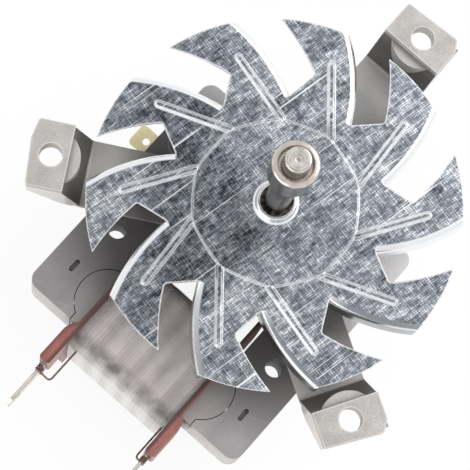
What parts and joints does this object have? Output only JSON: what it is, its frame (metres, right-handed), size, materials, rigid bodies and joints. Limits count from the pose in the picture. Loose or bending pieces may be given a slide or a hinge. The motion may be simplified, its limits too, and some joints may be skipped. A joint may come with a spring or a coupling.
{
  "type": "oven fan motor",
  "caption": "Shaded pole fan motor on a three armed bracket, with a folded blade cooling wheel and a long shaft for the oven's own fan.",
  "frame": {"origin": "on the shaft's axis, at the centre of the circle of mounting holes, in the plane of the mounting faces", "axes": "+Z along the shaft into the oven, +Y along the single arm, away from the coil"},
  "size_m": [0.1094, 0.1356, 0.0978],
  "materials": {
    "bracket_steel": "satin, zinc plated",
    "foot_steel": "fine matte grain",
    "core_steel": "matte, oxide coated laminations",
    "copper": "bare copper",
    "bobbin_resin": "moulded, red brown",
    "winding_wire": "lacquered wire under clear tape",
    "terminal_metal": "tin plated",
    "earth_brass": "bare brass",
    "fastener_steel": "zinc plated",
    "cast_alloy": "as cast",
    "sintered_bronze": "porous, oiled",
    "oil_felt": "felt, oiled",
    "washer_resin": "plain",
    "shaft_steel": "ground",
    "nut_steel": "turned and polished",
    "wheel_zinc": "galvanised sheet with rolled cross grain"
  },
  "bodies": {
    "frame": {"mounting_bracket": "bracket_steel", "foot_plates": "foot_steel", "stator_core": "core_steel", "coil_core": "core_steel", "shading_rings": "copper", "bobbin": "bobbin_resin", "winding": "winding_wire", "terminal_left": "terminal_metal", "terminal_right": "terminal_metal", "earth_terminal": "earth_brass", "earth_rivet": "fastener_steel", "front_bridge": "cast_alloy", "rear_bridge": "cast_alloy", "front_bearing": "sintered_bronze", "rear_bearing": "sintered_bronze", "front_felt": "oil_felt", "rear_felt": "oil_felt", "front_retainer": "fastener_steel", "rear_retainer": "fastener_steel", "clamp_bolts": "fastener_steel", "clamp_nuts": "fastener_steel"},
    "rotor": {"rotor_core": "core_steel", "rotor_cage": "cast_alloy", "thrust_washers": "washer_resin", "spacer_sleeves": "shaft_steel", "shaft": "shaft_steel", "fan_wheel": "wheel_zinc", "hub_bush": "shaft_steel", "collar_nut": "nut_steel"}
  },
  "joints": [
    {"name": "shaft_spin", "type": "hinge", "parent": "frame", "child": "rotor", "pos_m": [0, 0, 0], "axis": [0, 0, 1], "continuous": true}
  ]
}
